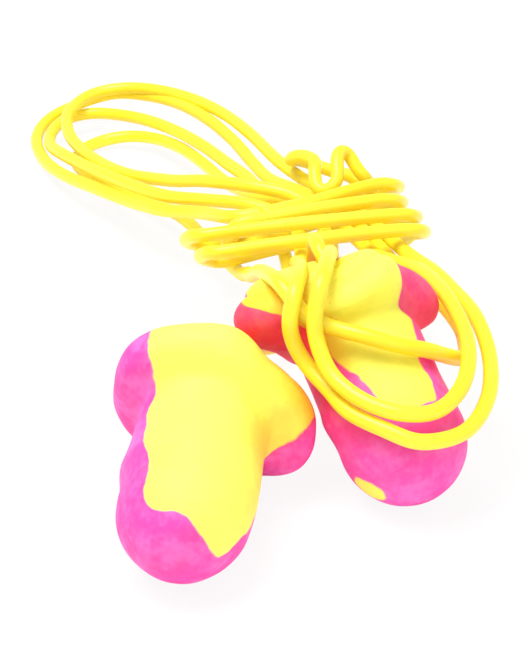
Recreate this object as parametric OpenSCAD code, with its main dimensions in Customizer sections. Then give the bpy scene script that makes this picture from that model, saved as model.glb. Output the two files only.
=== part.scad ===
// Pair of corded foam ear plugs: two flanged foam plugs joined by one soft
// cord that is gathered into far loops, near loops and a wrapped middle.
// Lengths in millimetres, +Z up. The table is the plane Z = 0. The plugs lie
// at the near end (-Y), the far loops reach away to +Y and -X.

/* [Foam plugs] */
// Diameter of the round ear tip
tip_d = 12.3; // [11:0.1:13]
// Length of the straight part behind the round tip
tip_band = 3.6; // [2:0.1:4.5]
// Diameter of the waist in front of the flange
waist_d = 11.6; // [10.5:0.1:12.2]
// Diameter of the flange
flange_d = 18.4; // [16:0.1:18.6]
// Radius of the rounded edge of the flange
flange_edge_r = 2.5; // [2:0.1:3]
// Distance from the tip to the widest part of the flange
flange_at = 21.2; // [20:0.1:22]
// Overall length of a plug
plug_len = 26.2; // [25.5:0.1:27]

/* [Cord] */
// Diameter of the cord
cord_d = 1.5; // [1.2:0.05:1.5]
// Depth of the socket that holds each cord end
socket_depth = 8.6; // [6:0.2:10]
// Radial clearance of the cord in its socket
socket_gap = 0.03; // [0.02:0.01:0.06]
// Number of sides of the cord section
cord_sides = 8; // [6:1:12]
// Longest step along the cord between two sections
cord_step = 2.4; // [1.6:0.1:3]

/* [Wrapped middle] */
// How far the hidden half of each turn lies behind its front half
turn_back = 8; // [7.5:0.1:8.5]
// How far the hidden half of each turn lies below its front half
turn_drop = 4.6; // [4.2:0.1:4.8]
// How far each turn bulges past the bundle at its ends
turn_bulge = 2.6; // [2.2:0.1:2.8]

/* [Pose of the plugs] */
// Direction in plan from the front plug's tip to its flange, from +Y towards +X
front_yaw = 9.74; // [9:0.1:10.5]
// Rise of the front plug from tip to flange when it lies on the table
front_rise = 11.2; // [11:0.1:11.5]
// Direction in plan from the rear plug's tip to its flange, from +Y towards +X
rear_yaw = -25; // [-25.5:0.1:-24.5]
// Rise of the rear plug from tip to flange, propped by the coil
rear_rise = 33; // [32.5:0.1:33.5]

/* [Hidden] */
$fn = 64;
tip_r = tip_d / 2;
waist_r = waist_d / 2;
flange_r = flange_d / 2;
cord_r = cord_d / 2;
cord_yellow = [1, 0.93, 0.2];
foam_yellow = [0.98, 0.98, 0.42];
magenta = [0.95, 0.3, 0.72];

// Shift that brings the middle of the pair's footprint to the origin
centring = [4.253, -4.73, 0];

// Centres of the two round tips
front_tip = [-7.1, -43.5, tip_r];
rear_tip = [13.1, -31.3, tip_r];

function mix(a, b, t) = a * (1 - t) + b * t;
function unit(v) = v / norm(v);

// ---- Plug outline: [radius, distance from the tip] ----------------------
function ease(t) = t * t * (3 - 2 * t);
function bezier(a, b, c, d, t) =
  pow(1 - t, 3) * a + 3 * pow(1 - t, 2) * t * b + 3 * (1 - t) * t * t * c + pow(t, 3) * d;

waist_from = tip_r + tip_band;
waist_to = flange_at - flange_edge_r - 2.5;

// The rounded flange edge, by angle from its widest point towards the back
edge_from = -49;
edge_to = 69;
function edge_point(a) =
  [flange_r - flange_edge_r + flange_edge_r * cos(a), flange_at + flange_edge_r * sin(a)];

// The flare from waist to flange: where it ends, and its two handles
flare_end = [flange_r - 0.35 * flange_edge_r, flange_at - 0.75 * flange_edge_r];
waist_handle = [waist_r, mix(waist_to, flare_end[1], 0.75)];
flange_handle = [flare_end[0] - 0.45 * (flange_r - waist_r), mix(flare_end[1], waist_to, 0.35)];
back_start = edge_point(edge_to);

// Round tip, taper to the waist, flare, flange edge, domed back
plug_outline = concat(
  [for (a = [0 : 10 : 90]) [tip_r * sin(a), tip_r * (1 - cos(a))]],
  [for (t = [0 : 0.2 : 1]) [mix(tip_r, waist_r, ease(t)), mix(waist_from, waist_to, t)]],
  [for (i = [1 : 7]) bezier([waist_r, waist_to], waist_handle, flange_handle, flare_end, 0.14 * i)],
  [for (i = [0 : 8]) edge_point(edge_from + i * (edge_to - edge_from) / 8)],
  [for (a = [15 : 15 : 90]) [back_start[0] * cos(a), mix(back_start[1], plug_len, sin(a))]]);

// ---- Plugs, each in its own frame: tip at the origin, +Z from tip to flange,
// -Y uppermost -------------------------------------------------------------
socket_floor = plug_len - socket_depth;
socket_r = cord_r + socket_gap;

module plug_solid() {
  difference() {
    rotate_extrude($fn = 96) polygon(plug_outline);
    translate([0, 0, socket_floor]) cylinder(r = socket_r, h = socket_depth + 5);
  }
}

module place_plug(tip, yaw, rise)
  translate(centring) translate(tip) rotate([rise - 90, 0, -yaw])
    translate([0, 0, -tip_r]) children();
module place_front() place_plug(front_tip, front_yaw, front_rise) children();
module place_rear() place_plug(rear_tip, rear_yaw, rear_rise) children();

// Magenta foam of the front plug: the end of the tip and two patches of flange
tip_magenta_to = tip_r - 0.4;
module front_magenta_zone() {
  translate([-15, -15, -5]) cube([30, 30, tip_magenta_to + 5]);
  translate([-12, 0.5, 19.6]) sphere(r = 6.4, $fn = 48);
  translate([10.2, 5, 18]) sphere(r = 4.6, $fn = 48);
}

// Yellow foam of the rear plug: one streak along its upper side
streak_from = waist_from + 0.8;
module rear_yellow_zone()
  translate([0.4, -8.7, streak_from]) cylinder(r = 6.8, h = 30, $fn = 64);

module front_plug_yellow_foam() color(foam_yellow) place_front()
  difference() { plug_solid(); front_magenta_zone(); }
module front_plug_magenta_foam() color(magenta) place_front()
  intersection() { plug_solid(); front_magenta_zone(); }
module rear_plug_yellow_foam() color(foam_yellow) place_rear()
  intersection() { plug_solid(); rear_yellow_zone(); }
module rear_plug_magenta_foam() color(magenta) place_rear()
  difference() { plug_solid(); rear_yellow_zone(); }

// A cord end fills the socket down to a drop of glue on the socket floor
glue_room = 0.7;  // length of socket left for the glue
glue_len = 0.64;
end_out = 0.22;   // how far the cord end stands out of the plug
module cord_end() translate([0, 0, socket_floor + glue_room])
  cylinder(r = cord_r, h = socket_depth - glue_room + end_out);
module glue_drop() translate([0, 0, socket_floor + 0.02])
  cylinder(r = socket_r - 0.01, h = glue_len);

module front_cord_end() color(cord_yellow) place_front() cord_end();
module rear_cord_end() color(cord_yellow) place_rear() cord_end();
module front_socket_glue() color("ivory") place_front() glue_drop();
module rear_socket_glue() color("ivory") place_rear() glue_drop();

// ---- Places along the cord ----------------------------------------------
// One cord runs from the front plug to the rear plug. Each run below lists the
// places [x, y, z] it passes, in order and before centring; a smooth curve is
// drawn through all of them.
function direction(yaw, rise) = [sin(yaw) * cos(rise), cos(yaw) * cos(rise), sin(rise)];
front_axis = direction(front_yaw, front_rise);
rear_axis = direction(rear_yaw, rear_rise);

// The free cord starts a hair beyond each glued end
exit_from_tip = plug_len - tip_r + end_out + 0.03;
front_exit = front_tip + exit_from_tip * front_axis;
rear_exit = rear_tip + exit_from_tip * rear_axis;

lead_run = [
  front_exit, front_exit + 1.6 * front_axis, [-2.6, -18.6, 9.6], [-0.4, -12.6, 5.4],
  [2, -4.5, 1.6], [3.1, 3.5, 0.9], [2.7, 10.5, 2.2], [1.4, 15.2, 5]];
far_second_run = [
  [0, 19, 7], [-2, 23.5, 7.6], [-4.6, 29.5, 6.8], [-7.6, 36.6, 5.8], [-11.2, 43.4, 4.8],
  [-15.2, 49.2, 3.8], [-19.2, 53, 3], [-23, 54.8, 2.5], [-26.2, 54, 2.2], [-28, 50.4, 2.2],
  [-28, 44.6, 2.6], [-25.6, 37.6, 3.6], [-21.4, 30.2, 5], [-16.7, 23.4, 6.6], [-11.6, 18, 8],
  [-6.6, 14, 9.4], [-2.2, 11.2, 10.3], [1.5, 8.8, 10.2], [3.4, 5.2, 10.1]];
near_outer_run = [
  [3.9, 1, 10.1], [3.8, -3, 10.4], [3.6, -6.4, 12.4], [3.2, -13, 17.5], [3.4, -21, 21.4],
  [2.9, -27, 21.5], [2.3, -29, 18.7], [2.6, -28.6, 15.7], [3.8, -29, 13.4], [5.9, -31.3, 12],
  [7.7, -34.3, 11.4], [10.8, -36.6, 11], [14.2, -37.7, 10.3], [18.4, -35.2, 9.8], [21, -30, 10.2],
  [21.7, -24, 11.2], [20.9, -17.5, 12], [19.2, -11, 11.5], [17.7, -6.2, 11], [15.7, -2, 10.5]];
far_top_run = [
  [13.6, 3.5, 9.9], [11.2, 9.5, 9.5], [8.4, 14.5, 9.3], [5, 19, 9.3], [2.6, 23.4, 9.1],
  [1, 27, 8.9], [-1.8, 35.6, 8], [-5.1, 43.4, 7.2], [-9.1, 49.8, 6.5], [-13.7, 54.4, 5.9],
  [-18.1, 56.9, 5.3], [-21.9, 57, 4.8], [-24.6, 54.8, 4.5], [-25.7, 50, 4.5], [-25, 43.8, 4.8],
  [-23, 37.6, 5.6], [-20, 32.2, 6.6], [-16.2, 26.6, 7.8], [-11.6, 21.4, 9.2], [-9.4, 19.1, 9.8],
  [-6.9, 17, 10.4], [-1.8, 13.8, 11.3], [3, 11.6, 11.2], [5.8, 8.4, 10.5], [6.6, 4.5, 10.2]];
near_inner_run = [
  [6.7, 1, 10.3], [6.6, -3, 10.5], [6.6, -6.4, 12.8], [6.6, -13, 18.6], [6.1, -21, 22.7],
  [5.3, -27.2, 22.4], [4.6, -29.2, 19.4], [4.8, -30, 16.4], [6.2, -32.2, 14], [9, -35, 13],
  [12.6, -36.4, 12.5], [16, -35, 12.1], [18.6, -30.6, 12.4], [19.4, -24.6, 13.3],
  [18.1, -17.6, 14], [16.3, -11, 13.3], [14.6, -6.4, 11.9], [13.2, -3.6, 10.9], [11.5, 0, 10],
  [9.4, 5, 9.7], [7, 9.5, 9.4], [4.3, 12.6, 9.3], [2, 14.8, 9.2]];
far_low_run = [
  [-0.8, 17, 8.5], [-3, 21.4, 7.2], [-5.2, 27, 5.8], [-7.9, 35, 4.4], [-11, 42, 3.3],
  [-14.5, 47, 2.3], [-18.2, 49.2, 1.6], [-21.6, 48.8, 1.1], [-24, 46.2, 0.9], [-24.3, 42, 0.9],
  [-21.8, 37.4, 1], [-18, 33, 1.2], [-14, 28.8, 1.8], [-10.8, 24, 2.8], [-8.4, 18.6, 3.6],
  [-6.5, 13.5, 3.8]];
near_cross_run = [
  [-4.4, 9.6, 3.9], [-2.6, 4.4, 5], [-1.8, -2, 8.8], [-1.6, -6, 11.3], [-1.3, -10.4, 13.9],
  [-0.3, -18.5, 18.2], [1.2, -24.7, 19.8], [2.8, -27.2, 18.8], [4.2, -28, 17.7],
  [6.4, -28.4, 16.9], [9.2, -29.4, 16.6], [12.2, -29.8, 15.9], [15.2, -28.6, 14.6],
  [17.5, -26.4, 12.6], [19.2, -23.6, 10.8], [19.9, -19.5, 9.5], [19.8, -15, 9.1],
  [18.3, -9.5, 9], [16.6, -6.2, 9], [15, -3.4, 9.1], [13.7, -0.6, 9.3], [11.7, 4, 9.6],
  [9.3, 9.3, 9.5], [6.4, 13.8, 9.3], [3.2, 17.8, 9]];
far_outer_run = [
  [0.6, 22.4, 8], [-1.4, 28.6, 7.2], [-4, 37, 6.2], [-7.4, 44.8, 5.4], [-11.2, 51, 4.8],
  [-15.4, 55.7, 4], [-20.3, 58.2, 3.5], [-25.2, 57.6, 2.7], [-29, 54, 2], [-30.2, 48.6, 1.6],
  [-28.5, 41, 1.9], [-25.3, 33.6, 2.8], [-20.5, 26.4, 4.2], [-16, 20.6, 5.6], [-13.8, 18.1, 6.4],
  [-11.6, 15.8, 7.2], [-7.4, 11.6, 9]];

// The turns round the bundle, from the rearmost to the foremost. Each front
// half runs from a left end to a right end, then tucks back and down behind.
turn_left = [[-2.6, 3.4, 11.8], [-6.1, 0.8, 11.7], [-4.4, -3.2, 11.7]];
turn_right = [[12.8, 12.4, 12.2], [12.9, 7.9, 12.4], [14.3, 4.2, 12.4], [14.9, 0.4, 12.5]];
tuck = [0, turn_back, -turn_drop];
going_down = [0, 40, 90, 140, 180];
coming_up = [180, 140, 90, 40, 0];

// Bend at a turn's end; side is 1 at the right and -1 at the left, low is the
// extra drop of the hidden half
function bend(end, side, low, angles) = [for (a = angles)
  end + [side * turn_bulge * sin(a), turn_back / 2 * (1 - cos(a)),
    -(turn_drop + low) / 2 * (1 - cos(a))]];
function front_half(left, right) = [
  mix(left, right, 0.2) + [0, -0.12, 0.18],
  mix(left, right, 0.5) + [0, -0.2, 0.3],
  mix(left, right, 0.8) + [0, -0.12, 0.18]];
function back_half(right, left, low) = [for (t = [0.3, 0.7])
  mix(right + tuck, left + tuck - [0, 0, low], t)];

wrap_run = concat(
  [[-3.6, 6.1, 11.2], [-0.3, 5.9, 11.8], [5.2, 7.8, 12.2], [9.5, 10.2, 12.4]],
  bend(turn_right[0], 1, 0, going_down),
  [[8, 17.7, 7.5], [1.6, 15.2, 7.5], [-1.9, 12.2, 7.8], [-3.5, 8.2, 7.8],
    [-4.2, 5.2, 8.6], [-3.9, 3.7, 10.4]],
  [turn_left[0]],
  front_half(turn_left[0], turn_right[1]),
  bend(turn_right[1], 1, 0, going_down),
  [[7, 13.6, 7.1], [1.4, 11.4, 6.2], [-2.7, 9.7, 5.9]],
  bend(turn_left[1], -1, 0.8, coming_up),
  front_half(turn_left[1], turn_right[2]),
  bend(turn_right[2], 1, 0, going_down),
  back_half(turn_right[2], turn_left[2], 0.7),
  bend(turn_left[2], -1, 0.7, coming_up),
  front_half(turn_left[2], turn_right[3]),
  bend(turn_right[3], 1, 0, [0, 40, 90, 140]));
tail_run = [
  [15.8, 11.2, 5.8], [14.3, 15, 4.9], [12.9, 17.5, 6.8], [12.4, 17.4, 9.2], [11.6, 16.3, 11],
  [10.7, 16.5, 12], [9.8, 17.5, 13.2], [9, 17.3, 14], [8.3, 16.2, 14.1], [8.2, 14.7, 13.3],
  [8.2, 13.5, 12.3], [7.5, 12.9, 11.5], [6.6, 13, 11.1], [5.8, 13.8, 11.4], [5.7, 15.7, 12.6],
  [5.7, 17.3, 12.8], [4.6, 18.6, 12.8], [3.4, 19.3, 12.4], [3, 20, 11.6], [3.4, 21.3, 11.2],
  [5.1, 22.5, 10.2], [7.6, 22.5, 9.2], [10.2, 21.9, 8.6], [11.4, 21.8, 7], [10.6, 22, 5.1],
  [9, 21.2, 3.2], [8, 18.6, 1.8], [8, 14, 1], [8.4, 9, 0.9], [8, 3, 1.5], [6.8, -4, 4.6],
  [5.9, -7.6, 9.2], [5.1, -9.7, 13.2], [4.9, -11.2, 16.4], [5, -12.9, 18],
  rear_exit + 1.5 * rear_axis, rear_exit];

cord = concat(lead_run, far_second_run, near_outer_run, far_top_run, near_inner_run,
  far_low_run, near_cross_run, far_outer_run, wrap_run, tail_run);

// Index in the cord of each run's first place
far_second = len(lead_run);
near_outer = far_second + len(far_second_run);
far_top = near_outer + len(near_outer_run);
near_inner = far_top + len(far_top_run);
far_low = near_inner + len(near_inner_run);
near_cross = far_low + len(far_low_run);
far_outer = near_cross + len(near_cross_run);
wrap = far_outer + len(far_outer_run);
tail = wrap + len(wrap_run);
last = len(cord) - 1;

// ---- Cord curve and tube --------------------------------------------------
// A place on the cord, carried straight on by one step beyond either end
function place(i) = i < 0 ? 2 * cord[0] - cord[1]
  : i > last ? 2 * cord[last] - cord[last - 1] : cord[i];

// Catmull-Rom curve from place i to i + 1: twice its coefficients in rising
// powers of t, its point and its unit direction
function cubic(i) = let (a = place(i - 1), b = place(i), c = place(i + 1), d = place(i + 2))
  [2 * b, c - a, 2 * a - 5 * b + 4 * c - d, 3 * b - a - 3 * c + d];
function curve(i, t) = let (q = cubic(i))
  0.5 * (q[0] + q[1] * t + q[2] * t * t + q[3] * t * t * t);
function slope(i, t) = let (q = cubic(i)) unit(q[1] + 2 * q[2] * t + 3 * q[3] * t * t);

// A stretch of cord between two places, as a closed many-sided tube
module stretch(from, to) {
  // Sections as [place index, fraction of the way to the next place]
  sections = concat(
    [for (i = [from : to - 1])
      let (steps = max(1, ceil(norm(place(i + 1) - place(i)) / cord_step)))
      for (k = [0 : steps - 1]) [i, k / steps]],
    [[to - 1, 1]]);
  centres = [for (s = sections) curve(s[0], s[1])];
  along = [for (s = sections) slope(s[0], s[1])];
  count = len(centres);
  sides = cord_sides;

  // Each section's normal is carried on from the one before, so the tube does not twist
  first_normal = unit(cross(along[0], abs(along[0][2]) < 0.8 ? [0, 0, 1] : [1, 0, 0]));
  normals = [for (i = 0, v = first_normal; i < count; i = i + 1,
    v = i < count ? unit(v - (v * along[i]) * along[i]) : v) v];
  points = [for (i = [0 : count - 1]) let (across = cross(along[i], normals[i]))
    for (k = [0 : sides - 1]) let (a = 360 * k / sides)
      centres[i] + cord_r * (cos(a) * normals[i] + sin(a) * across)];
  faces = concat(
    [[for (k = [0 : sides - 1]) k]],
    [for (i = [0 : count - 2]) for (k = [0 : sides - 1])
      each let (a = i * sides + k, b = i * sides + (k + 1) % sides)
        [[a, a + sides, b + sides], [a, b + sides, b]]],
    [[for (k = [sides - 1 : -1 : 0]) (count - 1) * sides + k]]);
  color(cord_yellow) translate(centring) polyhedron(points, faces);
}

// The stretches, in order from the front plug to the rear plug
module front_lead_bend() stretch(0, 2);
module front_lead() stretch(2, far_second);
module core_strand_1() stretch(far_second, far_second + 1);
module far_loop_second() stretch(far_second + 1, far_second + 14);
module core_strand_2() stretch(far_second + 14, near_outer + 2);
module near_loop_outer() stretch(near_outer + 2, near_outer + 18);
module core_strand_3() stretch(near_outer + 18, far_top + 4);
module far_loop_top() stretch(far_top + 4, far_top + 19);
module core_strand_4() stretch(far_top + 19, near_inner + 2);
module near_loop_inner() stretch(near_inner + 2, near_inner + 16);
module core_strand_5() stretch(near_inner + 16, far_low + 1);
module far_loop_low() stretch(far_low + 1, far_low + 14);
module core_strand_6() stretch(far_low + 14, near_cross + 3);
module near_loop_cross() stretch(near_cross + 3, near_cross + 18);
module core_strand_7() stretch(near_cross + 18, far_outer);
module far_loop_outer() stretch(far_outer, far_outer + 14);
module wrap_turns() stretch(far_outer + 14, tail);
module wrap_tail() stretch(tail, tail + 28);
module rear_lead() stretch(tail + 28, last);

front_plug_yellow_foam();
front_plug_magenta_foam();
front_cord_end();
front_socket_glue();
rear_plug_yellow_foam();
rear_plug_magenta_foam();
rear_cord_end();
rear_socket_glue();
front_lead_bend();
front_lead();
rear_lead();
far_loop_outer();
far_loop_second();
far_loop_top();
far_loop_low();
near_loop_outer();
near_loop_inner();
near_loop_cross();
core_strand_1();
core_strand_2();
core_strand_3();
core_strand_4();
core_strand_5();
core_strand_6();
core_strand_7();
wrap_turns();
wrap_tail();
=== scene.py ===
"""Two foam ear plugs joined by one long cord, which is coiled into a bundle and wrapped.

The table is z = 0 and the camera looks from -Y, so "front" and "near" mean -Y, "rear" and
"far" mean +Y, and "left" means -X. Places are in the part's own millimetres; to_frame turns
them into the frame's metres.
"""
import math
from types import SimpleNamespace
import bpy
import numpy as np
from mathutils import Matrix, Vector, noise


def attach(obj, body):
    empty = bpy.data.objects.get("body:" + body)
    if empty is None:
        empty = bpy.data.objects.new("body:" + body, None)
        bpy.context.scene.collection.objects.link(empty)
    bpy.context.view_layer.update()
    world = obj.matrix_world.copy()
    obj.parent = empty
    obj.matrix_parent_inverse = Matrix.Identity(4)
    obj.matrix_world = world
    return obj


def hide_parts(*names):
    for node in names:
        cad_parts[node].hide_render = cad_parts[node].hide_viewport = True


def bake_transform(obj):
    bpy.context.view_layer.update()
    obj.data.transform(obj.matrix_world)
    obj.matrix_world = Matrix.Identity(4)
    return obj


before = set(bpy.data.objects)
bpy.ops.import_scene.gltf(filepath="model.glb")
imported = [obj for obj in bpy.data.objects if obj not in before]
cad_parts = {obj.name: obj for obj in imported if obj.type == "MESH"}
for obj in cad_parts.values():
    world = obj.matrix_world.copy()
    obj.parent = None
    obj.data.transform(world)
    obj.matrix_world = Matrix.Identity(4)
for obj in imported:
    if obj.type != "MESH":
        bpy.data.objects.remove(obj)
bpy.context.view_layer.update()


# ------------------------------------------------------------------ sizes, mm
MM = 0.001
ORIGIN = np.array([4.253, -4.73, 0.0])   # shift that puts the footprint's middle at the origin
TIP_RADIUS = 6.15                        # from the tip to the plug's centre, along its axis
PLUG_LENGTH = 26.2
FLANGE_RADIUS = 9.2
FLANGE_AT = 21.2                         # from the tip to the middle of the flange's rounded edge
FLANGE_EDGE = 2.5                        # radius of that edge
SOCKET_RADIUS = 0.77
SOCKET_DEPTH = 1.8
FOAM_ROWS, FOAM_SIDES = 190, 192
CORD_RADIUS = 0.765
CORD_SIDES = 20
CORD_STEPS_PER_MM = 2.2
CORD_IN_SOCKET = 3.0                     # how far the cord's ends carry on into the plugs


def to_frame(point):
    return tuple((np.asarray(point, float) + ORIGIN) * MM)


def unit(vector):
    return vector / np.linalg.norm(vector)


def add_mesh(name, points, faces, material):
    """A smooth mesh object; faces of more than four corners stay flat."""
    mesh = bpy.data.meshes.new(name)
    mesh.from_pydata([tuple(v) for v in (points + ORIGIN) * MM], [], faces)
    mesh.update()
    mesh.polygons.foreach_set("use_smooth", [len(f) <= 4 for f in faces])
    made = bpy.data.objects.new(name, mesh)
    bpy.context.scene.collection.objects.link(made)
    mesh.materials.append(material)
    return made


# ------------------------------------------------------------------ the plugs' poses
def plug_pose(centre, yaw, rise):
    """Yaw turns the axis from +Y towards +X, rise lifts it; both in degrees."""
    yaw, rise = math.radians(yaw), math.radians(rise)
    axis = np.array([math.sin(yaw) * math.cos(rise), math.cos(yaw) * math.cos(rise),
                     math.sin(rise)])
    centre = np.array(centre)
    up = unit(np.array([0, 0, 1.0]) - axis[2] * axis)
    left = np.cross(up, axis)
    if left[0] >= 0:
        left = -left
    return SimpleNamespace(axis=axis, up=up, left=left, tip=centre - TIP_RADIUS * axis,
                           exit=centre + (PLUG_LENGTH - TIP_RADIUS + 0.25) * axis)


FRONT = plug_pose([-7.1, -43.5, TIP_RADIUS], yaw=9.74, rise=11.2)
REAR = plug_pose([13.1, -31.3, TIP_RADIUS], yaw=-25, rise=33)

# ------------------------------------------------------------------ the wrap round the bundle
# left and right ends of the turns' front halves, x y z
TURN_LEFT = [np.array(p) for p in ([-2.6, 3.4, 11.8], [-6.1, 0.8, 11.7], [-4.4, -3.2, 11.7])]
TURN_RIGHT = [np.array(p) for p in ([12.8, 12.4, 12.2], [12.9, 7.9, 12.4], [14.3, 4.2, 12.4],
                                    [14.9, 0.4, 12.5])]
BACK, DROP, BULGE = 8.0, 4.6, 2.6        # a turn's depth in y, its fall in z, its bulge in x
BEND_ANGLES = [0, 40, 90, 140, 180]
BEND_BACKWARDS = BEND_ANGLES[::-1]


def bend(start, side, extra_drop, angles):
    """From a front end round to the back; side is 1 for the right and -1 for the left."""
    return [start + np.array([side * BULGE * math.sin(a), BACK / 2 * (1 - math.cos(a)),
                              -(DROP + extra_drop) / 2 * (1 - math.cos(a))])
            for a in np.radians(angles)]


def front_half(left, right):
    return [left * 0.8 + right * 0.2 + [0, -0.12, 0.18], (left + right) / 2 + [0, -0.2, 0.3],
            left * 0.2 + right * 0.8 + [0, -0.12, 0.18]]


def back_half(right, left, extra_drop):
    start, end = right + [0, BACK, -DROP], left + [0, BACK, -DROP - extra_drop]
    return [start * 0.7 + end * 0.3, start * 0.3 + end * 0.7]


def wrap_run():
    return ([[-3.6, 6.1, 11.2], [-0.3, 5.9, 11.8], [5.2, 7.8, 12.2], [9.5, 10.2, 12.4]]
            + bend(TURN_RIGHT[0], 1, 0, BEND_ANGLES)
            + [[8, 17.7, 7.5], [1.6, 15.2, 7.5], [-1.9, 12.2, 7.8], [-3.5, 8.2, 7.8],
               [-4.2, 5.2, 8.6], [-3.9, 3.7, 10.4], TURN_LEFT[0]]
            + front_half(TURN_LEFT[0], TURN_RIGHT[1])
            + bend(TURN_RIGHT[1], 1, 0, BEND_ANGLES)
            + [[7, 13.6, 7.1], [1.4, 11.4, 6.2], [-2.7, 9.7, 5.9]]
            + bend(TURN_LEFT[1], -1, 0.8, BEND_BACKWARDS)
            + front_half(TURN_LEFT[1], TURN_RIGHT[2])
            + bend(TURN_RIGHT[2], 1, 0, BEND_ANGLES)
            + back_half(TURN_RIGHT[2], TURN_LEFT[2], 0.7)
            + bend(TURN_LEFT[2], -1, 0.7, BEND_BACKWARDS)
            + front_half(TURN_LEFT[2], TURN_RIGHT[3])
            + bend(TURN_RIGHT[3], 1, 0, BEND_ANGLES[:4]))


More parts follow.
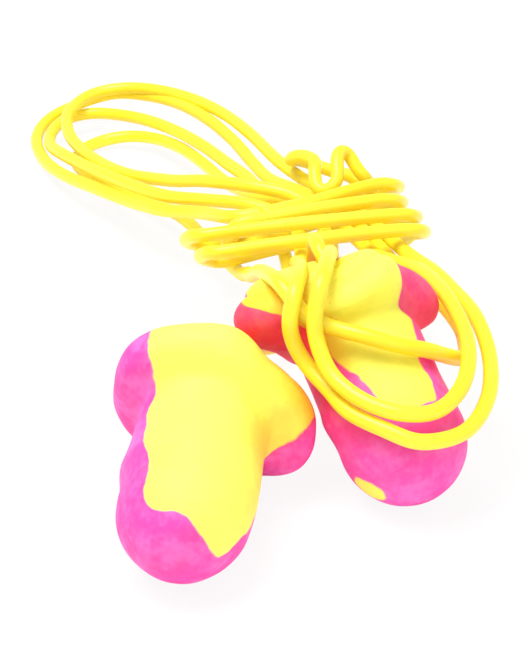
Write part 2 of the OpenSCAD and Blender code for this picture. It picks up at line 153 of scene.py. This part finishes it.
# ------------------------------------------------------------------ the cord's run
# places the cord passes through, x y z, in order from the front plug to the rear plug
RUNS = {
    "lead": [
        FRONT.exit, FRONT.exit + 1.6 * FRONT.axis, [-2.6, -18.6, 9.6], [-0.4, -12.6, 5.4],
        [2, -4.5, 1.6], [3.1, 3.5, 0.9], [2.7, 10.5, 2.2], [1.4, 15.2, 5]],
    "far_second": [
        [0, 19, 7], [-2, 23.5, 7.6], [-4.6, 29.5, 6.8], [-7.6, 36.6, 5.8], [-11.2, 43.4, 4.8],
        [-15.2, 49.2, 3.8], [-19.2, 53, 3], [-23, 54.8, 2.5], [-26.2, 54, 2.2],
        [-28, 50.4, 2.2], [-28, 44.6, 2.6], [-25.6, 37.6, 3.6], [-21.4, 30.2, 5],
        [-16.7, 23.4, 6.6], [-11.6, 18, 8], [-6.6, 14, 9.4], [-2.2, 11.2, 10.3],
        [1.5, 8.8, 10.2], [3.4, 5.2, 10.1]],
    "near_outer": [
        [3.9, 1, 10.1], [3.8, -3, 10.4], [3.6, -6.4, 12.4], [3.2, -13, 17.5], [3.4, -21, 21.4],
        [2.9, -27, 21.5], [2.3, -29, 18.7], [2.6, -28.6, 15.7], [3.8, -29, 13.4],
        [5.9, -31.3, 12], [7.7, -34.3, 11.4], [10.8, -36.6, 11], [14.2, -37.7, 10.3],
        [18.4, -35.2, 9.8], [21, -30, 10.2], [21.7, -24, 11.2], [20.9, -17.5, 12],
        [19.2, -11, 11.5], [17.7, -6.2, 11], [15.7, -2, 10.5]],
    "far_top": [
        [13.6, 3.5, 9.9], [11.2, 9.5, 9.5], [8.4, 14.5, 9.3], [5, 19, 9.3], [2.6, 23.4, 9.1],
        [1, 27, 8.9], [-1.8, 35.6, 8], [-5.1, 43.4, 7.2], [-9.1, 49.8, 6.5],
        [-13.7, 54.4, 5.9], [-18.1, 56.9, 5.3], [-21.9, 57, 4.8], [-24.6, 54.8, 4.5],
        [-25.7, 50, 4.5], [-25, 43.8, 4.8], [-23, 37.6, 5.6], [-20, 32.2, 6.6],
        [-16.2, 26.6, 7.8], [-11.6, 21.4, 9.2], [-9.4, 19.1, 9.8], [-6.9, 17, 10.4],
        [-1.8, 13.8, 11.3], [3, 11.6, 11.2], [5.8, 8.4, 10.5], [6.6, 4.5, 10.2]],
    "near_inner": [
        [6.7, 1, 10.3], [6.6, -3, 10.5], [6.6, -6.4, 12.8], [6.6, -13, 18.6], [6.1, -21, 22.7],
        [5.3, -27.2, 22.4], [4.6, -29.2, 19.4], [4.8, -30, 16.4], [6.2, -32.2, 14],
        [9, -35, 13], [12.6, -36.4, 12.5], [16, -35, 12.1], [18.6, -30.6, 12.4],
        [19.4, -24.6, 13.3], [18.1, -17.6, 14], [16.3, -11, 13.3], [14.6, -6.4, 11.9],
        [13.2, -3.6, 10.9], [11.5, 0, 10], [9.4, 5, 9.7], [7, 9.5, 9.4], [4.3, 12.6, 9.3],
        [2, 14.8, 9.2]],
    "far_low": [
        [-0.8, 17, 8.5], [-3, 21.4, 7.2], [-5.2, 27, 5.8], [-7.9, 35, 4.4], [-11, 42, 3.3],
        [-14.5, 47, 2.3], [-18.2, 49.2, 1.6], [-21.6, 48.8, 1.1], [-24, 46.2, 0.9],
        [-24.3, 42, 0.9], [-21.8, 37.4, 1], [-18, 33, 1.2], [-14, 28.8, 1.8],
        [-10.8, 24, 2.8], [-8.4, 18.6, 3.6], [-6.5, 13.5, 3.8]],
    "near_cross": [
        [-4.4, 9.6, 3.9], [-2.6, 4.4, 5], [-1.8, -2, 8.8], [-1.6, -6, 11.3],
        [-1.3, -10.4, 13.9], [-0.3, -18.5, 18.2], [1.2, -24.7, 19.8], [2.8, -27.2, 18.8],
        [4.2, -28, 17.7], [6.4, -28.4, 16.9], [9.2, -29.4, 16.6], [12.2, -29.8, 15.9],
        [15.2, -28.6, 14.6], [17.5, -26.4, 12.6], [19.2, -23.6, 10.8], [19.9, -19.5, 9.5],
        [19.8, -15, 9.1], [18.3, -9.5, 9], [16.6, -6.2, 9], [15, -3.4, 9.1],
        [13.7, -0.6, 9.3], [11.7, 4, 9.6], [9.3, 9.3, 9.5], [6.4, 13.8, 9.3], [3.2, 17.8, 9]],
    "far_outer": [
        [0.6, 22.4, 8], [-1.4, 28.6, 7.2], [-4, 37, 6.2], [-7.4, 44.8, 5.4], [-11.2, 51, 4.8],
        [-15.4, 55.7, 4], [-20.3, 58.2, 3.5], [-25.2, 57.6, 2.7], [-29, 54, 2],
        [-30.2, 48.6, 1.6], [-28.5, 41, 1.9], [-25.3, 33.6, 2.8], [-20.5, 26.4, 4.2],
        [-16, 20.6, 5.6], [-13.8, 18.1, 6.4], [-11.6, 15.8, 7.2], [-7.4, 11.6, 9]],
    "wrap": wrap_run(),
    "tail": [
        [15.8, 11.2, 5.8], [14.3, 15, 4.9], [12.9, 17.5, 6.8], [12.4, 17.4, 9.2],
        [11.6, 16.3, 11], [10.7, 16.5, 12], [9.8, 17.5, 13.2], [9, 17.3, 14],
        [8.3, 16.2, 14.1], [8.2, 14.7, 13.3], [8.2, 13.5, 12.3], [7.5, 12.9, 11.5],
        [6.6, 13, 11.1], [5.8, 13.8, 11.4], [5.7, 15.7, 12.6], [5.7, 17.3, 12.8],
        [4.6, 18.6, 12.8], [3.4, 19.3, 12.4], [3, 20, 11.6], [3.4, 21.3, 11.2],
        [5.1, 22.5, 10.2], [7.6, 22.5, 9.2], [10.2, 21.9, 8.6], [11.4, 21.8, 7],
        [10.6, 22, 5.1], [9, 21.2, 3.2], [8, 18.6, 1.8], [8, 14, 1], [8.4, 9, 0.9],
        [8, 3, 1.5], [6.8, -4, 4.6], [5.9, -7.6, 9.2], [5.1, -9.7, 13.2], [4.9, -11.2, 16.4],
        [5, -12.9, 18], REAR.exit + 1.5 * REAR.axis, REAR.exit],
}
# how the soft cord settles: over the rear plug it sinks into the foam, and the far strands
# shift a little; (place in the run, dx, dy, dz)
SINK = [(2, 0, 0, -0.4), (3, 0, 0, -1.9), (4, 0, 0, -2.1), (5, 0, 0, -1.0), (6, 0, 0, -0.4)]
SETTLING = {
    "near_outer": SINK,
    "near_inner": SINK,
    "near_cross": [(2, 0, 0, -0.3), (3, 0, 0, -0.9), (4, 0, 0, -1.1), (5, 0, 0, -0.7)],
    "far_top": [(13, -0.4, 0, -0.2), (14, -0.3, 0, -0.5), (15, 0, 0, -0.8), (16, 0, 0, -1.2),
                (17, 0, 0, -1.2), (18, 0, 0, -0.8), (19, 0, 0, -0.4)],
    "far_second": [(11, 0, 0.8, 0.3), (12, 0, 1.0, 0.3), (13, 0, 0.6, 0.2)],
    "far_outer": [(2, 0, 0, 0.3), (3, 0, 0, 0.6), (4, 0, 0, 0.6), (5, 0, 0, 0.6),
                  (6, 0, 0, 0.4), (10, 0, 0.3, 0), (11, 0, 0.8, 0.2), (12, 0, 1.0, 0.2),
                  (13, 0, 0.8, 0), (14, 0, 0.4, 0)],
}


def cord_places():
    """All places as one array, and the number of each run's first place."""
    places, first = [FRONT.exit - CORD_IN_SOCKET * FRONT.axis], {}
    for name, run in RUNS.items():
        first[name] = len(places)
        places += [np.array(p, float) for p in run]
        for place, *move in SETTLING.get(name, []):
            places[first[name] + place] += move
    places.append(REAR.exit - CORD_IN_SOCKET * REAR.axis)
    return np.array(places), first


def cord_curve(places):
    """Points of a smooth curve through the places, and the place number each lies at."""
    points, numbers = [], []
    padded = np.vstack([2 * places[0] - places[1], places, 2 * places[-1] - places[-2]])
    for i in range(len(places) - 1):
        before, start, end, after = padded[i:i + 4]
        steps = max(4, int(math.ceil(np.linalg.norm(end - start) * CORD_STEPS_PER_MM)))
        for k in range(steps):
            t = k / steps
            points.append(0.5 * (2 * start + (end - before) * t
                                 + (2 * before - 5 * start + 4 * end - after) * t * t
                                 + (3 * start - before - 3 * end + after) * t ** 3))
            numbers.append(i + t)
    points.append(places[-1])
    numbers.append(len(places) - 1)
    points = np.array(points)
    # ease the curve a little so that the soft cord has no kinks
    for _ in range(2):
        points[1:-1] = 0.25 * points[:-2] + 0.5 * points[1:-1] + 0.25 * points[2:]
    return points, np.array(numbers)


def cross_axes(points):
    """Two directions across the cord at each point, carried along without twist."""
    tangents = np.gradient(points, axis=0)
    tangents /= np.linalg.norm(tangents, axis=1)[:, None]
    across = np.zeros_like(points)
    across[0] = unit(np.cross(tangents[0], [0, 0, 1.0]))
    for i in range(1, len(points)):
        across[i] = unit(across[i - 1] - (across[i - 1] @ tangents[i]) * tangents[i])
    return across, np.cross(tangents, across)


PLACES, FIRST = cord_places()
CURVE, PLACE_NUMBERS = cord_curve(PLACES)
ACROSS, OTHER_ACROSS = cross_axes(CURVE)


def cord_piece(name, start, end, material):
    """The cord from place number start to place number end, as a closed tube."""
    low, high = (int(np.searchsorted(PLACE_NUMBERS, n - 1e-6)) for n in (start, end))
    part = slice(low, high + 1)
    step = np.arange(low, high + 1)
    # the thickness varies slowly, by about 2 per cent
    radius = CORD_RADIUS * (1 + 0.012 * np.sin(step * 0.071) + 0.008 * np.sin(step * 0.193 + 1.3))
    ring = np.linspace(0, 2 * math.pi, CORD_SIDES, endpoint=False)[None, :, None]
    points = CURVE[part][:, None] + radius[:, None, None] * (
        np.cos(ring) * ACROSS[part][:, None] + np.sin(ring) * OTHER_ACROSS[part][:, None])
    faces = []
    for i in range(len(step) - 1):
        for k in range(CORD_SIDES):
            a, b = i * CORD_SIDES + k, i * CORD_SIDES + (k + 1) % CORD_SIDES
            faces.append((a, b, b + CORD_SIDES, a + CORD_SIDES))
    faces.append(tuple(range(CORD_SIDES))[::-1])
    faces.append(tuple((len(step) - 1) * CORD_SIDES + k for k in range(CORD_SIDES)))
    return add_mesh(name, points.reshape(-1, 3), faces, material)


# ------------------------------------------------------------------ shader node helpers
def add_node(tree, kind, inputs=None, **settings):
    """A shader node; an input given as a socket is linked, any other is set."""
    made = tree.nodes.new("ShaderNode" + kind)
    for key, value in settings.items():
        setattr(made, key, value)
    for key, value in (inputs or {}).items():
        if isinstance(value, bpy.types.NodeSocket):
            tree.links.new(value, made.inputs[key])
        else:
            made.inputs[key].default_value = value
    return made


def principled(name, values):
    material = bpy.data.materials.new(name)
    material.use_nodes = True
    shader = material.node_tree.nodes["Principled BSDF"]
    for key, value in values.items():
        shader.inputs[key].default_value = value
    return material, material.node_tree, shader


def object_place(tree):
    return add_node(tree, "TexCoord").outputs["Object"]


def attribute(tree, name):
    return add_node(tree, "Attribute", attribute_name=name).outputs["Fac"]


def noise_texture(tree, place, scale, detail):
    inputs = {"Vector": place, "Scale": scale, "Detail": detail}
    return add_node(tree, "TexNoise", inputs).outputs["Fac"]


def cell_distance(tree, place, scale):
    return add_node(tree, "TexVoronoi", {"Vector": place, "Scale": scale}).outputs["Distance"]


def calculate(tree, operation, *terms):
    return add_node(tree, "Math", dict(enumerate(terms)), operation=operation).outputs["Value"]


def map_range(tree, value, low, high, to_low=0.0, to_high=1.0, kind="SMOOTHSTEP"):
    inputs = {"Value": value, "From Min": low, "From Max": high,
              "To Min": to_low, "To Max": to_high}
    return add_node(tree, "MapRange", inputs, interpolation_type=kind).outputs["Result"]


def mix_colours(tree, factor, first, second, blend="MIX"):
    inputs = {"Factor": factor, "A": first, "B": second}
    return add_node(tree, "Mix", inputs, data_type="RGBA", blend_type=blend).outputs["Result"]


def colour_ramp(tree, factor, low_colour, high_colour, low=0.0, high=1.0):
    ramp = add_node(tree, "ValToRGB", {"Fac": factor})
    for element, position, colour in zip(ramp.color_ramp.elements, (low, high),
                                         (low_colour, high_colour)):
        element.position = position
        element.color = (*colour, 1)
    return ramp.outputs["Color"]


# ------------------------------------------------------------------ materials
def cord_material(name):
    material, tree, shader = principled(name, {
        "Roughness": 0.34, "IOR": 1.46, "Subsurface Weight": 0.35,
        "Subsurface Radius": (1.0, 0.85, 0.15), "Subsurface Scale": 0.0012})
    cloud = noise_texture(tree, object_place(tree), scale=90, detail=3)
    colour = colour_ramp(tree, cloud, (0.93, 0.71, 0.018), (0.95, 0.79, 0.045),
                         low=0.3, high=0.72)
    tree.links.new(colour, shader.inputs["Base Color"])
    return material


def foam_material(name, yellow, magenta):
    material, tree, shader = principled(name, {
        "Roughness": 0.6, "Specular IOR Level": 0.3, "Subsurface Weight": 0.3,
        "Subsurface Radius": (1.0, 0.6, 0.35), "Subsurface Scale": 0.0012})
    place = object_place(tree)
    fine = noise_texture(tree, place, scale=1500, detail=4)
    blotch = noise_texture(tree, place, scale=260, detail=3)
    cloud = noise_texture(tree, place, scale=420, detail=2)

    # ragged edge between the two foams
    ragged = calculate(tree, "MULTIPLY_ADD", fine, 0.3, attribute(tree, "tint"))
    edge = map_range(tree, ragged, low=-0.01, high=0.31)
    # the magenta foam is cloudy, with pale specks where its cells lie open; the pale mottling
    # also serves as painted soft highlights
    specks = calculate(tree, "MULTIPLY_ADD", fine, 0.55, cloud)
    pale_mottle_and_highlight = map_range(tree, specks, low=0.6, high=1.05)
    pink = mix_colours(tree, pale_mottle_and_highlight, (*magenta, 1), (0.94, 0.15, 0.52, 1))
    foams = mix_colours(tree, edge, (*yellow, 1), pink)
    # painted shade: darker and more orange where the shade attribute says so, then slow changes
    # of brightness
    with_painted_shade = mix_colours(tree, attribute(tree, "painted_shade"), foams, (1.0, 0.66, 0.3, 1), "MULTIPLY")
    tone = map_range(tree, blotch, low=0.3, high=0.7, to_low=0.9, to_high=1.06, kind="LINEAR")
    shaded = mix_colours(tree, 1, with_painted_shade, tone, "MULTIPLY")
    # scattered open cells, a little darker than the skin round them: painted shade inside the
    # pores
    pore_shade = map_range(tree, cell_distance(tree, place, scale=1050), low=0.08, high=0.2,
                     to_low=0.5, to_high=0.0)
    where = map_range(tree, blotch, low=0.5, high=0.62, kind="LINEAR")
    amount = calculate(tree, "MULTIPLY", pore_shade, where)
    skin = mix_colours(tree, amount, shaded, (0.86, 0.62, 0.72, 1), "MULTIPLY")
    tree.links.new(skin, shader.inputs["Base Color"])

    height = calculate(tree, "ADD", cell_distance(tree, place, scale=1700), blotch)
    bump = add_node(tree, "Bump", {"Strength": 0.2, "Distance": 0.0002, "Height": height})
    tree.links.new(bump.outputs["Normal"], shader.inputs["Normal"])
    return material


def plain_material(name, colour, roughness):
    """One colour, faintly mottled."""
    material, tree, shader = principled(name, {"Roughness": roughness})
    mottle = add_node(tree, "TexNoise", {"Scale": 400}).outputs["Fac"]
    mottled = colour_ramp(tree, mottle, [c * 0.93 for c in colour], colour)
    tree.links.new(mottled, shader.inputs["Base Color"])
    return material


def floor_material(name):
    """Pale floor that the camera sees as nearly pure white."""
    material = plain_material(name, (0.93, 0.93, 0.93), 0.9)
    tree = material.node_tree
    white = add_node(tree, "Emission", {"Color": (1, 1, 1, 1)})
    seen = add_node(tree, "LightPath").outputs["Is Camera Ray"]
    both = add_node(tree, "MixShader", {
        "Fac": calculate(tree, "MULTIPLY", seen, 0.9),
        1: tree.nodes["Principled BSDF"].outputs["BSDF"], 2: white.outputs["Emission"]})
    tree.links.new(both.outputs["Shader"], tree.nodes["Material Output"].inputs["Surface"])
    return material


CORD = cord_material("cord_yellow_pvc")
FOAM_FRONT = foam_material("foam_front", yellow=(1.0, 0.93, 0.135), magenta=(0.93, 0.062, 0.37))
FOAM_REAR = foam_material("foam_rear", yellow=(0.94, 0.90, 0.105), magenta=(0.93, 0.075, 0.42))
GLUE = plain_material("set_glue", (0.85, 0.8, 0.6), 0.3)


# ------------------------------------------------------------------ foam plugs: outline
# s is the distance from the tip along the axis, mm; angle is in degrees round the axis,
# 0 at the top, positive to the left
def smooth01(t):
    t = np.clip(t, 0, 1)
    return t * t * (3 - 2 * t)


def rising(value, start, length):
    return smooth01((value - start) / length)


def falling(value, end, length):
    return smooth01((end - value) / length)


def lobes(angle, *table):
    """Sum of bumps round the axis; (height, middle angle, reach to either side)."""
    return sum(height * smooth01(1 - np.abs((angle - middle + 180) % 360 - 180) / reach)
               for height, middle, reach in table)


def outline(tip_length, tip_radius, waist_radius):
    """(radius, s) from the tip round to the bottom of the socket, as one smooth line."""
    # rounded tip
    line = [(tip_radius * math.sin(a), tip_length * (1 - math.cos(a)))
            for a in np.linspace(0, math.pi / 2, 26)]
    # body, easing to the waist
    waist_end = FLANGE_AT - FLANGE_EDGE - 2.5
    for t in np.linspace(0, 1, 26)[1:]:
        line.append((tip_radius * (1 - smooth01(t)) + waist_radius * smooth01(t),
                     tip_length + (waist_end - tip_length) * t))
    # flare from the waist to the flange, a Bezier curve
    flare_end = FLANGE_AT - 0.75 * FLANGE_EDGE
    rise = flare_end - waist_end
    start = np.array([waist_radius, waist_end])
    end = np.array([FLANGE_RADIUS - 0.35 * FLANGE_EDGE, flare_end])
    start_handle = np.array([waist_radius, waist_end + 0.75 * rise])
    end_handle = np.array([end[0] - 0.45 * (FLANGE_RADIUS - waist_radius),
                           flare_end - 0.35 * rise])
    for t in np.linspace(0, 1, 20)[1:-1]:
        line.append(tuple((1 - t) ** 3 * start + 3 * (1 - t) ** 2 * t * start_handle
                          + 3 * (1 - t) * t * t * end_handle + t ** 3 * end))
    # rounded edge of the flange
    for a in np.radians(np.linspace(-49, 69, 22)):
        line.append((FLANGE_RADIUS - FLANGE_EDGE + FLANGE_EDGE * math.cos(a),
                     FLANGE_AT + FLANGE_EDGE * math.sin(a)))
    # domed end, as far as the socket
    dome_radius, dome_start = line[-1]
    for a in np.radians(np.linspace(0, 90, 22)[1:]):
        if dome_radius * math.cos(a) >= 0.86:
            line.append((dome_radius * math.cos(a),
                         dome_start + (PLUG_LENGTH - dome_start) * math.sin(a)))
    line += [(0.80, PLUG_LENGTH - 0.02), (SOCKET_RADIUS, PLUG_LENGTH - 0.2),
             (SOCKET_RADIUS, PLUG_LENGTH - 1.6), (0.3, PLUG_LENGTH - SOCKET_DEPTH),
             (0.0, PLUG_LENGTH - SOCKET_DEPTH)]
    return np.array(line)


def resample(line, count):
    run = np.r_[0, np.cumsum(np.linalg.norm(np.diff(line, axis=0), axis=1))]
    even = np.linspace(0, run[-1], count)
    return np.stack([np.interp(even, run, line[:, 0]), np.interp(even, run, line[:, 1])], 1)


# ------------------------------------------------------------------ foam plugs: squashed shapes
def flange_share(s):
    return rising(s, 16.2, 3.2)


def waist_share(s):
    return rising(s, 7, 4) * falling(s, 19, 3)


def front_shape(radius, s, angle):
    flange = flange_share(s)
    radius = radius * (1 + flange * lobes(angle, (0.10, 48, 42), (0.04, 95, 50),
                                          (-0.23, -52, 46), (0.09, -112, 32)))
    radius = (radius + smooth01(s / 4) * lobes(angle, (0.35, 92, 60))
              + waist_share(s) * lobes(angle, (0.75, 88, 60)))
    return radius, s - flange * lobes(angle, (0.5, 60, 50), (1.8, -120, 42))


def rear_shape(radius, s, angle):
    flange = flange_share(s)
    cord_end = rising(s, 14.5, 8.5)
    radius = radius * (1 + flange * lobes(angle, (0.25, 86, 32), (-0.05, 52, 24),
                                          (-0.11, 130, 36), (-0.31, -48, 42), (0.06, -94, 28)))
    radius = (radius * (1 - cord_end * lobes(angle, (0.16, 22, 46)))
              + waist_share(s) * lobes(angle, (0.65, 102, 55)))
    s = (s + flange * lobes(angle, (0.6, 84, 40), (-1.4, -94, 38))
         - cord_end * lobes(angle, (2.1, 20, 70)))
    return radius, s


# ------------------------------------------------------------------ foam plugs: colours
# left and right edges of the coloured bands, (s, angle)
FRONT_LEFT_EDGE = [(0, 40), (3, 32), (5.5, 34), (7, 32), (9.5, 41), (12.2, 51), (15.7, 55),
                   (17.7, 50), (19.3, 36), (21.6, 37), (24, 40), (30, 40)]
FRONT_RIGHT_EDGE = [(0, -95), (1.4, -90), (3.4, -87), (8, -96), (12, -106), (16, -122),
                    (17.2, -110), (18.2, -100), (19, -93), (20, -90), (21.5, -93), (24, -100),
                    (30, -100)]
# where the magenta cap on the front plug's tip ends, (angle, s)
FRONT_CAP = [(-180, 1.5), (-90, 1.4), (-63, 1.35), (-41, 1.6), (-25, 2.1), (-10, 2.25),
             (10, 2.5), (28, 2.9), (40, 4.5), (60, 8), (180, 8)]
REAR_RIGHT_EDGE = [(0, -22), (9, -22), (11.6, -23), (15.7, -41), (18.2, -40), (19.7, -31),
                   (21.5, -34), (26, -40), (30, -40)]
REAR_LEFT_EDGE = [(0, 36), (8.1, 30), (9.6, 34), (11.6, 41), (13.8, 51), (15.4, 58), (18, 62),
                  (20.2, 64), (21.1, 71), (22.6, 80), (26, 90), (30, 90)]


def along(table, at, reach=0.9):
    """The table's value, averaged over reach to either side so that no corner shows."""
    stations, values = zip(*table)
    return np.mean([np.interp(at + d, stations, values)
                    for d in np.linspace(-reach, reach, 11)], axis=0)


def soft_max(*fields, ease=0.35):
    """The largest of the fields, rounded where two of them meet."""
    return ease * np.log(sum(np.exp(np.clip(f, -20, 20) / ease) for f in fields))


def mm_per_degree(radius):
    return np.radians(1) * np.maximum(radius, 0.5)


def front_tint(s, angle, radius):
    """Distance in mm into the magenta foam; negative is yellow."""
    scale = mm_per_degree(radius)
    return soft_max((angle - along(FRONT_LEFT_EDGE, s)) * scale,
                    (along(FRONT_RIGHT_EDGE, s) - angle) * scale,
                    (along(FRONT_CAP, angle, reach=7) - s) * 1.6)


def rear_tint(s, angle, radius):
    """As front_tint; a yellow band with a magenta tip, and a yellow patch on the tip's left."""
    scale = mm_per_degree(radius)
    yellow = -soft_max((along(REAR_RIGHT_EDGE, s) - angle) * scale,
                       (angle - along(REAR_LEFT_EDGE, s)) * scale, 7.0 - s)
    patch = 1.65 - np.hypot((angle - 104) * scale, (s - 3.0) * 1.1)
    return -np.maximum(yellow, patch)


def front_painted_shade(s, angle, tint):
    """Painted shade: the yellow foam darkened to orange towards the right of the flange and along
    the right side.
    """
    rim = rising(s, 17.5, 3.5) * falling(angle, -34, 46)
    side = 0.5 * rising(s, 9, 6) * falling(angle, -22, 55)
    return np.maximum(rim, side) * rising(angle, -150, 30) * (1 - 0.85 * rising(tint, 0, 0.6))


def rear_painted_shade(s, angle, tint):
    """Painted shade and bounce light from the yellow cords: the sides and the two flange lobes,
    redder than the magenta foam of the tip.
    """
    left = rising(angle, 28, 30) * falling(angle, 165, 50)
    right = falling(angle, -25, 30) * rising(angle, -155, 50)
    lengthwise = (0.55 * rising(s, 4.5, 7) + 0.45 * rising(s, 13, 4)) * falling(s, 25.5, 3)
    return lengthwise * np.maximum(left, 0.85 * right)


# ------------------------------------------------------------------ foam plugs: meshes
def noise_grid(points, shape, *layers):
    """Noise at each point, summed over layers of (frequency, offset, height)."""
    return np.array([sum(noise.noise(Vector(p) * frequency + Vector(offset)) * height
                         for frequency, offset, height in layers)
                     for p in points]).reshape(shape)


def foam_faces(rows):
    """A fan at the tip, quads between the rows, and a fan at the socket's bottom."""
    faces = [(0, 1 + k, 1 + (k + 1) % FOAM_SIDES) for k in range(FOAM_SIDES)]
    for i in range(rows - 1):
        for k in range(FOAM_SIDES):
            a, b = 1 + i * FOAM_SIDES + k, 1 + i * FOAM_SIDES + (k + 1) % FOAM_SIDES
            faces.append((a, a + FOAM_SIDES, b + FOAM_SIDES, b))
    last = 1 + (rows - 1) * FOAM_SIDES
    end = 1 + rows * FOAM_SIDES
    return faces + [(last + k, end, last + (k + 1) % FOAM_SIDES) for k in range(FOAM_SIDES)]


def add_attribute(target, name, start, grid, end):
    values = np.r_[start, grid.reshape(-1), end].astype(np.float32)
    target.data.attributes.new(name, "FLOAT", "POINT").data.foreach_set("value", values)


def foam_plug(name, pose, line, shape, tint, painted_shade, material, seed):
    stations = resample(line, FOAM_ROWS)[1:-1]
    rows = len(stations)
    grid = np.ones((rows, FOAM_SIDES))
    line_radius, line_s = stations[:, :1] * grid, stations[:, 1:] * grid
    angle = grid * np.linspace(-180, 180, FOAM_SIDES, endpoint=False)
    radius, s = shape(line_radius, line_s, angle)
    # the last rows line the socket, which stays round
    in_socket = (np.arange(rows)[:, None] >= rows - 7) & (line_radius < 0.9)
    radius, s = np.where(in_socket, line_radius, radius), np.where(in_socket, line_s, s)
    turn = np.radians(angle)[..., None]
    outward = np.cos(turn) * pose.up + np.sin(turn) * pose.left
    clean = pose.tip + s[..., None] * pose.axis + radius[..., None] * outward
    flat = clean.reshape(-1, 3)
    # slow lumps, a fraction of a millimetre deep
    lump = noise_grid(flat, grid.shape, (0.16, (seed, 0, 0), 0.26), (0.5, (0, seed, 0), 0.07))
    lump = lump * rising(line_radius, 1.0, 2.0)
    points = clean + outward * lump[..., None]
    points[..., 2] = np.maximum(points[..., 2], 0.02)   # none of it sinks into the table
    end = pose.tip + (PLUG_LENGTH - SOCKET_DEPTH) * pose.axis
    made = add_mesh(name, np.vstack([pose.tip[None], points.reshape(-1, 3), end[None]]),
                    foam_faces(rows), material)
    # the colours' edges wander a little
    depth = tint(line_s, angle, radius) + noise_grid(
        flat, grid.shape, (0.45, (seed, seed, 0), 0.45), (1.5, (0, 0, 0), 0.10))
    add_attribute(made, "tint", depth[0].mean(), depth, depth[-1].mean())
    # painted shade, darker and more orange, stored as a point attribute for the foam material
    add_attribute(made, "painted_shade", 0, painted_shade(line_s, angle, depth), 0)
    return made


front = foam_plug("front_foam_plug", FRONT,
                  outline(tip_length=6.9, tip_radius=6.0, waist_radius=5.75),
                  front_shape, front_tint, front_painted_shade, FOAM_FRONT, seed=3.1)
rear = foam_plug("rear_foam_plug", REAR,
                 outline(tip_length=6.6, tip_radius=6.05, waist_radius=5.75),
                 rear_shape, rear_tint, rear_painted_shade, FOAM_REAR, seed=8.4)
for plug, part in ((front, "front_plug"), (rear, "rear_plug")):
    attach(plug, part)
    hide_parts(part + "_yellow_foam", part + "_magenta_foam")

# ------------------------------------------------------------------ cord pieces
# each piece starts where the one before it ends, the loops inside the wrapped middle:
# name, end place number, blend (None rides the core; any other value is only a label and leaves
# the piece on its own), nodes replaced
PIECES = [
    ("cord_front_lead", FIRST["far_second"] - 0.5, "front",
     ["front_cord_end", "front_lead_bend", "front_lead"]),
    ("cord_far_second", FIRST["near_outer"] - 1, "far", ["core_strand_1", "far_loop_second"]),
    ("cord_near_outer", FIRST["far_top"] + 1, "near", ["near_loop_outer", "core_strand_2"]),
    ("cord_far_top", FIRST["near_inner"] - 1, "far", ["core_strand_3", "far_loop_top"]),
    ("cord_near_inner", FIRST["far_low"] - 3, "near", ["near_loop_inner", "core_strand_4"]),
    ("cord_far_low", FIRST["near_cross"] + 0.5, "far", ["core_strand_5", "far_loop_low"]),
    ("cord_near_cross", FIRST["near_cross"] + 22, "near", ["near_loop_cross", "core_strand_6"]),
    ("cord_far_outer", FIRST["wrap"] + 1, "far", ["core_strand_7", "far_loop_outer"]),
    ("cord_wrap_turns", FIRST["tail"], None, ["wrap_turns"]),
    ("cord_tail_and_rear_lead", len(PLACES) - 1, None,
     ["wrap_tail", "rear_lead", "rear_cord_end"]),
]
piece_start = 0
for name, piece_end, blend, nodes in PIECES:
    piece = cord_piece(name, piece_start, piece_end, CORD)
    if blend:
        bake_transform(piece)
    else:
        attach(piece, "coil_core")
    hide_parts(*nodes)
    piece_start = piece_end

for name in ("front_socket_glue", "rear_socket_glue"):
    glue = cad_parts[name]
    glue.data.materials.clear()
    glue.data.materials.append(GLUE)


# ------------------------------------------------------------------ floor, light, camera; metres
def aim(target_object, place, target):
    target_object.location = place
    direction = Vector(target) - Vector(place)
    target_object.rotation_euler = direction.to_track_quat("-Z", "Y").to_euler()


def add_floor():
    material = floor_material("pale_floor")
    bpy.ops.mesh.primitive_plane_add(size=4, location=(0, 0, -0.0001))
    floor = bpy.context.object
    floor.name = "floor"
    floor.data.materials.append(material)


def add_world():
    world = bpy.data.worlds.new("studio")
    bpy.context.scene.world = world
    world.use_nodes = True
    background = world.node_tree.nodes["Background"]
    background.inputs["Color"].default_value = (1, 1, 1, 1)
    background.inputs["Strength"].default_value = 0.62


def add_area_light(name, place, target, size, power):
    light = bpy.data.lights.new(name, "AREA")
    light.shape = "SQUARE"
    light.size = size
    light.energy = power
    lamp = bpy.data.objects.new(name, light)
    aim(lamp, place, target)
    bpy.context.scene.collection.objects.link(lamp)


def add_camera(distance, elevation, lens):
    data = bpy.data.cameras.new("camera")
    camera = bpy.data.objects.new("camera", data)
    bpy.context.scene.collection.objects.link(camera)
    target = Vector(to_frame((0, 0, 0)))
    elevation = math.radians(elevation)
    offset = Vector((0, -distance * math.cos(elevation), distance * math.sin(elevation)))
    aim(camera, target + offset, target)
    data.sensor_width = 36
    data.lens = lens
    data.clip_start = 0.005
    data.clip_end = 20
    bpy.context.scene.camera = camera


add_floor()
add_world()
add_area_light("overhead", place=(-0.13, -0.04, 0.52), target=(0, 0, 0), size=0.3, power=3.3)
add_area_light("fill", place=(0.25, -0.45, 0.35), target=(0, 0, 0.01), size=0.4, power=0.6)
add_camera(distance=0.210, elevation=30, lens=102.857143)
bpy.context.scene.view_settings.view_transform = "Standard"
bpy.context.scene.view_settings.look = "None"
